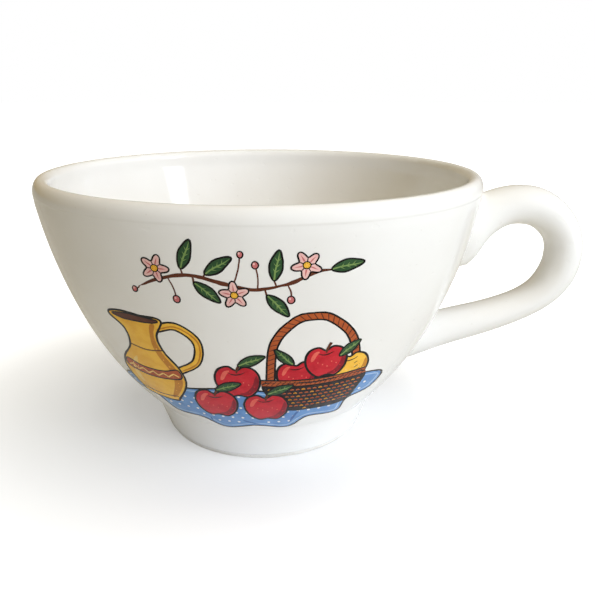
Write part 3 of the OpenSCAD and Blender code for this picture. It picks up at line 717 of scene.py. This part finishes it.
def blossom(at, level, turn):
    at = np.array(at)
    r = BLOSSOM_D / 2

    def spoke(a, near, far, width, colour, taper):
        way = np.array([math.cos(a), math.sin(a)])
        stroke([at + way * r * near, at + way * r * far], width, level + DETAIL_UP, colour, taper=(0, taper))

    shape = []
    for k in range(60):
        a = 2 * math.pi * k / 60
        reach = r * (0.76 + 0.24 * math.cos(5 * a))
        shape.append((at[0] + reach * math.cos(a + turn), at[1] + reach * math.sin(a + turn)))
    drawn("pink", shape, level, 0.32)
    for k in range(5):
        a = 2 * math.pi * k / 5 + turn
        spoke(a, 0.3, 0.78, 0.3, "pink_dark", 1.0)
        spoke(a + math.pi / 5, 0.26, 0.54, 0.22, "black", 0.4)
    drawn("yellow", oval(at, BLOSSOM_D / 8, BLOSSOM_D / 8, 14), level + TOP_UP, 0.24)
    for grain in range(6):
        a = 2 * math.pi * grain / 6 + 0.3
        centre = (at[0] + 0.42 * math.cos(a), at[1] + 0.42 * math.sin(a))
        fill("brown", oval(centre, 0.1, 0.1, 6), level + TOP_UP + DETAIL_UP, gap=0.1)


def draw_cloth():
    """Blue, with a paler hem line, white dots and fold lines."""
    cloth = rounded(placed(CLOTH, (-CLOTH_W / 2, CLOTH_Z), (CLOTH_W, CLOTH_H)))
    drawn("blue", cloth, 0)
    stroke(grown(cloth, -0.95), 0.34, PEN_UP, "blue_pale", closed=True)
    core = grown(cloth, -1.7)
    for row in range(DOT_ROWS):
        for col in range(DOT_COLS):
            at = (DOT_START[0] + (col + row % 2 / 2) * DOT_PITCH[0], DOT_START[1] + row * DOT_PITCH[1])
            if inside(core, at):
                fill("white", oval(at, DOT_R, DOT_R, 10), PEN_UP, "print_blue", gap=0.18)
    for fold in FOLDS:
        stroke(line(fold), 0.55, DETAIL_UP, "blue_dark", taper=(0.8, 2.5))


def draw_weave(body):
    """Short bowed strands in rows, which sag with the basket's front."""
    inner = grown(body, -0.45)
    half = BASKET_W / 2
    for row in range(WEAVE_ROWS):
        z = BASKET_AT[1] + WEAVE_START[1] + row * WEAVE_PITCH[1]
        for col in range(WEAVE_COLS):
            x = BASKET_AT[0] + WEAVE_START[0] + (col + row % 2 / 2) * WEAVE_PITCH[0]
            low = z - WEAVE_SAG * (1 - ((x - BASKET_AT[0] - half) / half) ** 2)
            if inside(inner, (x, low)) and inside(inner, (x + WEAVE_L - 0.01, low)):
                bow = [(x + WEAVE_L * k / 2, low + rise) for k, rise in enumerate(WEAVE_BOW)]
                colour = "brown" if (row + col) % 3 else "yellow_dark"
                stroke(line(bow, 4), 0.42, 5.5, colour, taper=(0.25, 0.25), gap=0.2)


def draw_basket():
    """Dark, with a bound arch and rim, and with its fruit, from the arch forwards."""
    fill("basket", rounded(placed(BASKET_MOUTH, BASKET_AT, BASKET_SIZE), 6), 0.75, "print_black")
    arch = line(placed(ARCH, (BASKET_AT[0], BASKET_AT[1] + BASKET_H), (BASKET_W, ARCH_H)))
    stroke(arch, 2.1, 1.0, wobble=FIRM)
    stroke(arch, 1.3, 1.5, "brown", wobble=FIRM)
    wrap = even(arch, 1.25, False)
    for a, b in zip(wrap[:-1], wrap[1:]):
        way = (b - a) / np.linalg.norm(b - a)
        side = np.array([way[1], -way[0]])
        stroke([a - side * 0.6, a + way * 0.75 + side * 0.6], 0.2, 2.0, "brown_dark", wobble=0.1)
    for x, z, size, colour, level, stem in BASKET_FRUIT:
        apple((BASKET_AT[0] + x * APPLE_D, BASKET_AT[1] + BASKET_H + z * APPLE_D), size, colour, level, stem)
    for x, z, angle in BASKET_LEAVES:
        leaf((BASKET_AT[0] + x * BASKET_W, BASKET_AT[1] + z * BASKET_H), angle, 0.9, 5.25)
    body = rounded(placed(BASKET, BASKET_AT, BASKET_SIZE))
    fill("basket", body, 5, "print_black")
    stroke(body, INK_W, 6.5, closed=True)
    draw_weave(body)
    rim = line(placed(BASKET_RIM, BASKET_AT, BASKET_SIZE), 6)
    stroke(rim, 2.3, 6.5, wobble=0.04)
    stroke(rim, 1.5, 7.0, "brown", wobble=0.04)
    wrap = even(rim, 1.0, False)
    for a, b in zip(wrap[:-1], wrap[1:]):
        stroke([a + (0, -0.62), b + (0.1, 0.62)], 0.22, 7.5, "brown_dark", wobble=0.1)


def draw_jug():
    """Shaded on its right, with a lighter flank, a brown band with a zigzag, two turned lines and its mouth."""
    loop = line(placed(JUG_LOOP, JUG_AT, JUG_SIZE))
    stroke(loop, 2.15, 1.0, wobble=FIRM)
    stroke(loop, 1.3, 1.5, "yellow", wobble=FIRM)
    stroke(loop + (0.28, -0.15), 0.34, 2.0, "yellow_dark", taper=(2, 2))
    drawn("yellow", rounded(placed(JUG, JUG_AT, JUG_SIZE)), 2)
    fill("yellow_dark", rounded(placed(JUG_SHADE, JUG_AT, JUG_SIZE), 5), 2.5)
    fill("yellow_pale", rounded(placed(JUG_FLANK, JUG_AT, JUG_SIZE), 5), 2.5)
    drawn("brown", rounded(placed(JUG_BAND, JUG_AT, JUG_SIZE), 6), 3, 0.36)
    stroke(placed(JUG_ZIGZAG, JUG_AT, JUG_SIZE), 0.34, 4, "yellow_pale", wobble=0.1)
    for turned in JUG_LINES:
        stroke(line(placed(turned, JUG_AT, JUG_SIZE)), 0.34, 3, "brown_dark", "print_brown")
    drawn("brown_dark", rounded(placed(JUG_MOUTH, JUG_AT, JUG_SIZE), 6), 3, 0.3, "print_brown")


def draw_front_fruit():
    for x, z, level in FRONT_FRUIT:
        at = (FRUIT_AT[0] + x * APPLE_D, FRUIT_AT[1] + z * APPLE_D)
        apple(at, 1.0, "red", level)
        leaf((at[0] + 0.55 * APPLE_D, at[1] + APPLE_D), 25, 1.0, level + 3)


def draw_garland():
    """A vine with leaves, berries and blossom, each leaf and berry on its own twig from the vine's nearest point."""
    vine = line(placed(VINE, VINE_AT, VINE_SIZE), 10)
    stroke(vine, 0.75, 1.0, "brown_dark", "print_black", (3, 3), wobble=0.5)

    def place(x, z):
        at = (VINE_AT[0] + x * VINE_SIZE[0], VINE_AT[1] + z * VINE_SIZE[1])
        return at, vine[np.argmin(np.linalg.norm(vine - at, axis=1))]

    for x, z, angle in GARLAND_LEAVES:
        at, near = place(x, z)
        stroke([near, at], 0.36, 1.0, "brown_dark", "print_black")
        leaf(at, angle, 1.0, 2)
    for x, z, size in BERRIES:
        at, near = place(x, z)
        stroke(line([near, (near + at) / 2 + (0.3, 0), at]), 0.3, 1.0, "brown_dark", "print_black")
        drawn("pink_dark", oval(at, 0.72 * size, 0.85 * size, 16), 2, 0.28, "print_pink")
        fill("pink", oval((at[0] - 0.2, at[1] + 0.25), 0.2, 0.26, 8), 3, gap=0.15)
    for n, (x, z) in enumerate(BLOSSOMS):
        blossom(place(x, z)[0], 4, 0.4 * n)


draw_cloth()
draw_basket()
draw_jug()
draw_front_fruit()
draw_garland()
for (node, colour), (verts, faces) in sorted(layers.items()):
    piece = mesh_piece(f"{node}.{colour}", verts, faces, INK[colour])
    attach(piece, "root")
    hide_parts(node)

# ---------------------------------------------------------------- floor
# The paper glows for the camera, and faintly in the glaze's reflections, the less the nearer it lies to SHADOW_AT:
# this paints it white away from the bowl and paints a shadow beside the bowl, over the real shadow it keeps. To other
# rays the paper is paler near the bowl than far off.
FLOOR_HALF = 3
SHADOW_AT, SHADOW_FAR, PAPER_REACH = (-0.020, 0.008, 0.0), 0.12, (0.035, 0.12)
GLOW_STOPS = [(0.15, 0.36), (0.26, 0.48), (0.42, 0.54), (0.52, 0.61), (0.68, 0.83), (0.88, 1)]
PAPER_NEAR, PAPER_FAR, PAPER_SEEN = (0.96, 0.98, 1.0, 1), (0.58, 0.55, 0.47, 1), (0.49, 0.50, 0.51, 1)
GLOW_MIRRORED = 0.2
corners = [(-FLOOR_HALF, -FLOOR_HALF, 0), (FLOOR_HALF, -FLOOR_HALF, 0),
           (FLOOR_HALF, FLOOR_HALF, 0), (-FLOOR_HALF, FLOOR_HALF, 0)]
floor_mesh = bpy.data.meshes.new("floor")
floor_mesh.from_pydata(corners, [], [(0, 1, 2, 3)])
floor = bpy.data.objects.new("floor", floor_mesh)
bpy.context.collection.objects.link(floor)
floor_mat = bpy.data.materials.new("floor")
floor_mesh.materials.append(floor_mat)
t = Nodes(floor_mat)
away = t.add("ShaderNodeVectorMath", operation="DISTANCE")
t.give(t.add("ShaderNodeTexCoord").outputs["Object"], away.inputs[0])
t.give(SHADOW_AT, away.inputs[1])
away = away.outputs["Value"]
paper = t.mix(t.span(away, *PAPER_REACH, interpolation_type="SMOOTHSTEP"), PAPER_NEAR, PAPER_FAR)
path = t.add("ShaderNodeLightPath").outputs
t.surface(Base_Color=t.mix(path["Is Camera Ray"], paper, PAPER_SEEN), Roughness=0.9, Specular_IOR_Level=0.0)
seen = t.math("ADD", path["Is Camera Ray"], t.math("MULTIPLY", path["Is Glossy Ray"], GLOW_MIRRORED))
# Painted shadow: the glow is weakest beside the bowl and rises to full far away
glow_with_painted_shadow = t.ramp(t.math("DIVIDE", away, SHADOW_FAR), [(place, grey(v)) for place, v in GLOW_STOPS])
glow = t.light("ShaderNodeEmission", grey(1), t.math("MULTIPLY", seen, glow_with_painted_shadow))
t.give(t.sum(t.bsdf.outputs[0], glow), t.out.inputs["Surface"])

# ---------------------------------------------------------------- the room around, and its windows
ROOM_LEFT, ROOM_RIGHT, ROOM_FRONT = (0.12, 0.10, 0.063, 1), (0.20, 0.20, 0.22, 1), (0.07, 0.075, 0.09, 1)
ROOM_TOP, TOP_FOCUS = (0.63, 0.54, 0.32, 1), 3.0
SHEEN_LEFT, SHEEN_RIGHT = (0.42, 0.30, 0.13, 1), (0.58, 0.57, 0.55, 1)
AIM, LAMP_FAR = Vector((0.01, 0, 0.045)), 1.2
# Name, degrees round from +X and up, width and height in metres, watts, colour, and whether the glaze mirrors it
LAMPS = [("window_near", -31, 11, 0.25, 0.5, 3.15, (0.76, 0.88, 1.0), True),
         ("window_mid", -62, 14, 0.5, 0.5, 5.8, (0.82, 0.885, 1.0), False),
         ("window_side", -38, 37, 0.7, 0.4, 5.6, (0.84, 0.885, 1.0), False),
         ("window_high", -8, 28, 0.07, 0.26, 0.5, (1.0, 1.0, 1.0), True),
         ("ceiling", -60, 82, 0.5, 0.5, 3.0, (1.0, 0.95, 0.84), False)]
world = bpy.data.worlds.new("room")
bpy.context.scene.world = world
t = Nodes(world)
split = t.add("ShaderNodeSeparateXYZ")
t.give(t.add("ShaderNodeTexCoord").outputs["Generated"], split.inputs[0])
right_share = t.span(split.outputs["X"], -0.5, 0.9)
front_share = t.span(split.outputs["Y"], -0.1, -1.0)
top_share = t.math("POWER", t.math("MAXIMUM", split.outputs["Z"], 0.0), TOP_FOCUS)
walls = t.mix(front_share, t.mix(right_share, ROOM_LEFT, ROOM_RIGHT), ROOM_FRONT)
room = t.light("ShaderNodeBackground", t.mix(top_share, walls, ROOM_TOP), 1.0)
sheen = t.light("ShaderNodeBackground", t.mix(right_share, SHEEN_LEFT, SHEEN_RIGHT), 1.0)
white = t.light("ShaderNodeBackground", grey(1), 1.0)
path = t.add("ShaderNodeLightPath").outputs
unseen = t.either(path["Is Glossy Ray"], room, sheen)
t.give(t.either(path["Is Camera Ray"], unseen, white), t.out.inputs["Surface"])

for name, azimuth, elevation, wide, high, power, colour, mirrored in LAMPS:
    lamp = bpy.data.lights.new(name, "AREA")
    lamp.shape = "RECTANGLE"
    lamp.size, lamp.size_y = wide, high
    lamp.energy = power
    lamp.color = colour
    ob = bpy.data.objects.new(name, lamp)
    a, e = math.radians(azimuth), math.radians(elevation)
    way = Vector((math.cos(a) * math.cos(e), math.sin(a) * math.cos(e), math.sin(e)))
    ob.location = AIM + way * LAMP_FAR
    ob.rotation_euler = way.to_track_quat("Z", "Y").to_euler()
    ob.visible_glossy = mirrored
    bpy.context.collection.objects.link(ob)

# ---------------------------------------------------------------- camera: mm, radians, and pixels of the picture
CAM_D, CAM_H, PITCH, YAW, ROLL, FOCAL = 171.794, 89.156, 0.311553, 0.0539966, 0.00170786, 665.436
SENSOR_W, PICTURE_W = 36, 595
cam = bpy.data.cameras.new("camera")
cam.sensor_width = SENSOR_W
cam.lens = SENSOR_W * FOCAL / PICTURE_W
cam.clip_start = 0.01
camera = bpy.data.objects.new("camera", cam)
fwd = Vector((math.sin(YAW) * math.cos(PITCH), math.cos(YAW) * math.cos(PITCH), -math.sin(PITCH)))
right = Vector((math.cos(YAW), -math.sin(YAW), 0))
up = right.cross(fwd)
x_way = math.cos(ROLL) * right + math.sin(ROLL) * up
y_way = -math.sin(ROLL) * right + math.cos(ROLL) * up
camera.matrix_world = Matrix(((x_way.x, y_way.x, -fwd.x, 0), (x_way.y, y_way.y, -fwd.y, -CAM_D * MM),
                              (x_way.z, y_way.z, -fwd.z, CAM_H * MM), (0, 0, 0, 1)))
bpy.context.collection.objects.link(camera)
bpy.context.scene.camera = camera
bpy.context.scene.view_settings.view_transform = "Standard"
